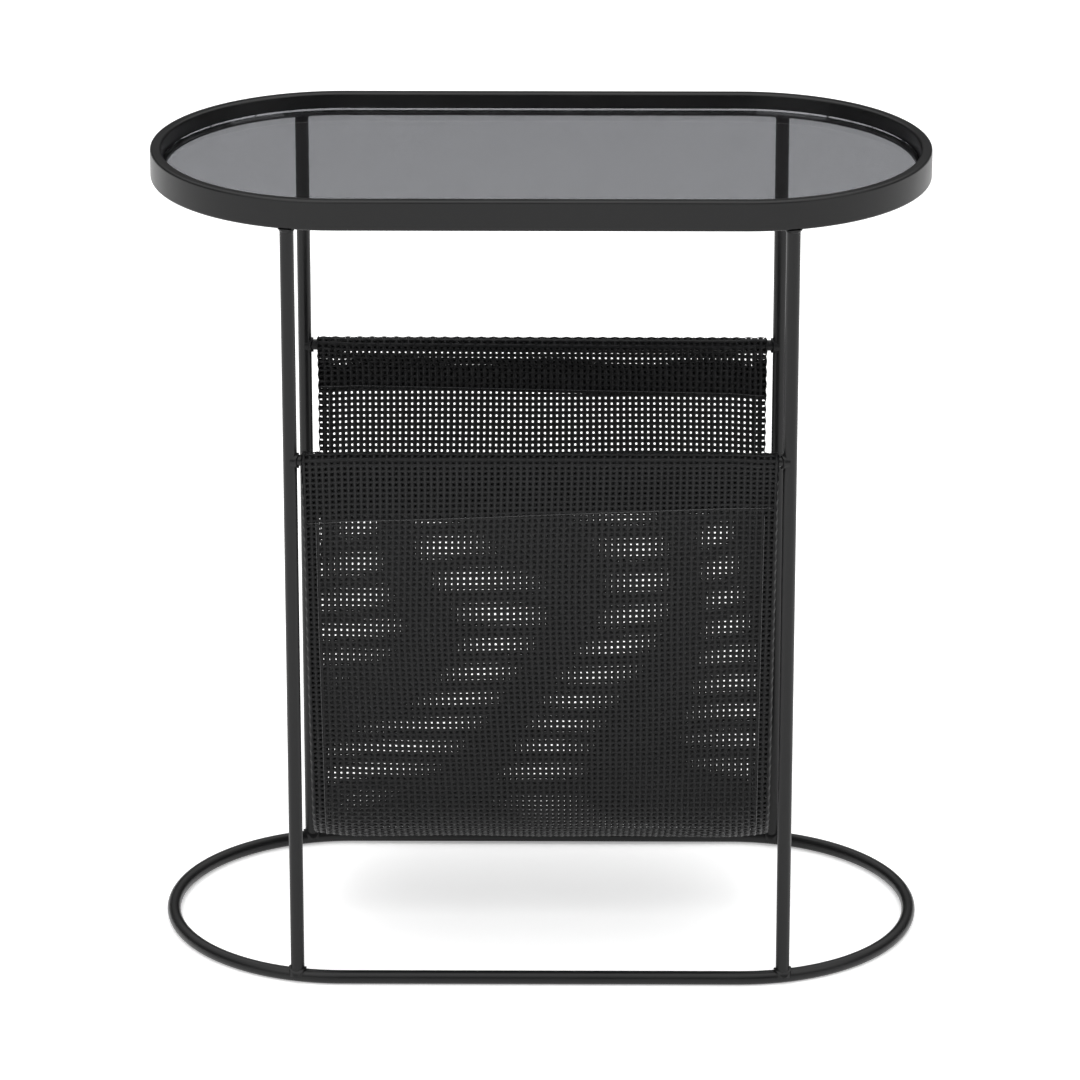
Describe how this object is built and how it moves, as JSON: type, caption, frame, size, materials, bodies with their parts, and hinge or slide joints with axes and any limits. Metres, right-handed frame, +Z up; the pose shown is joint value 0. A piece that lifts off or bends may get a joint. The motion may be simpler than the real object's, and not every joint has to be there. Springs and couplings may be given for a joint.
{
  "type": "oval side table with magazine sling",
  "caption": "Fixed oval side table: welded rod frame, smoked glass top dropped into a steel hoop, and an open-mesh magazine sling hung from cross rods.",
  "frame": {"origin": "on the floor, under the centre of the table", "axes": "+Z up, +X along the table's length, -Y towards the front"},
  "size_m": [0.56, 0.27, 0.6],
  "materials": {
    "powder_coated_steel": "satin black powder coat",
    "smoked_glass": "polished, grey tint",
    "foam_strip": "matte black",
    "woven_mesh": "black coated yarn, open plain weave",
    "sewing_thread": "black bonded thread"
  },
  "bodies": {
    "frame": {"top_hoop": "powder_coated_steel", "glass_ledge": "powder_coated_steel", "glass_gasket": "foam_strip", "base_ring": "powder_coated_steel", "front_left_leg": "powder_coated_steel", "front_right_leg": "powder_coated_steel", "rear_left_leg": "powder_coated_steel", "rear_right_leg": "powder_coated_steel", "front_sling_rod": "powder_coated_steel", "rear_sling_rod": "powder_coated_steel", "front_left_hoop_weld": "powder_coated_steel", "front_right_hoop_weld": "powder_coated_steel", "rear_left_hoop_weld": "powder_coated_steel", "rear_right_hoop_weld": "powder_coated_steel", "front_left_base_weld": "powder_coated_steel", "front_right_base_weld": "powder_coated_steel", "rear_left_base_weld": "powder_coated_steel", "rear_right_base_weld": "powder_coated_steel", "front_left_rod_weld": "powder_coated_steel", "front_right_rod_weld": "powder_coated_steel", "rear_left_rod_weld": "powder_coated_steel", "rear_right_rod_weld": "powder_coated_steel", "sling_panel": "woven_mesh", "left_side_hem": "woven_mesh", "right_side_hem": "woven_mesh", "front_rod_pocket": "woven_mesh", "rear_rod_pocket": "woven_mesh"},
    "glass": {"glass_top": "smoked_glass"}
  },
  "joints": [
    {"name": "glass_lift", "type": "slide", "parent": "frame", "child": "glass", "axis": [0, 0, 1], "range_m": [0, 0.05]}
  ]
}
